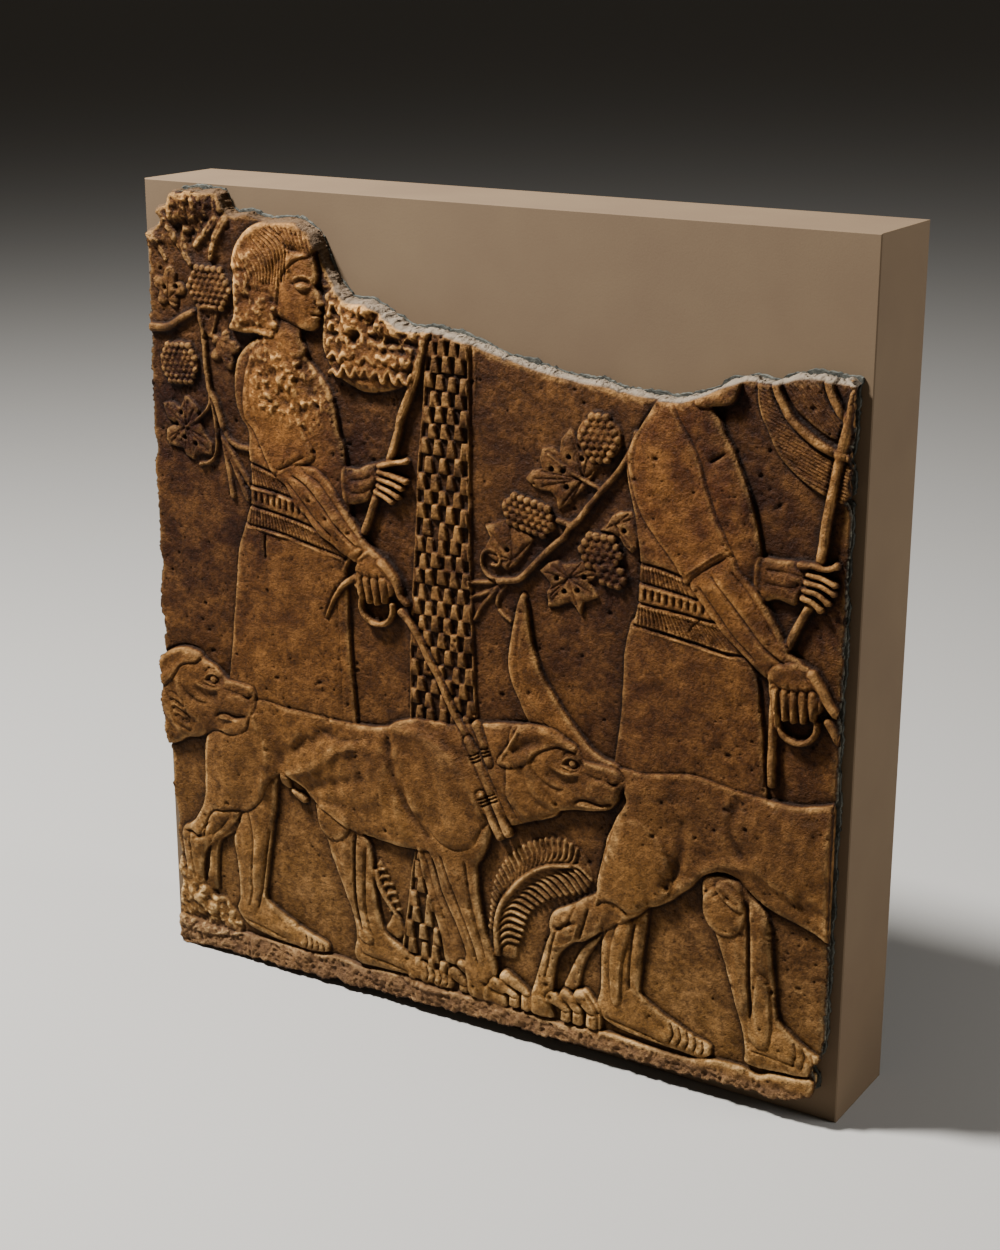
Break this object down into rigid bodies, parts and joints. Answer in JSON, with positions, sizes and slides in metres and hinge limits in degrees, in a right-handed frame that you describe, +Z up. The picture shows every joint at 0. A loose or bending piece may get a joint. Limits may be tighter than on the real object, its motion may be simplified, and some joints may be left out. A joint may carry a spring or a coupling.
{
  "type": "stone relief panel",
  "caption": "Broken stone wall relief with huntsmen, mastiffs, vines and a palm, bedded in mortar on a plain upright backing block.",
  "frame": {"origin": "middle of the backing block's underside", "axes": "+Z up, +X to the right as the carving is looked at, +Y into the wall; the carving faces -Y"},
  "size_m": [1.118, 0.1926, 1.17],
  "materials": {
    "carved_stone": "matte, weathered",
    "mortar": "matte, rough",
    "block_stone": "matte, plain"
  },
  "bodies": {
    "root": {"relief_slab": "carved_stone", "mortar_bed": "mortar", "backing_block": "block_stone"}
  },
  "joints": []
}
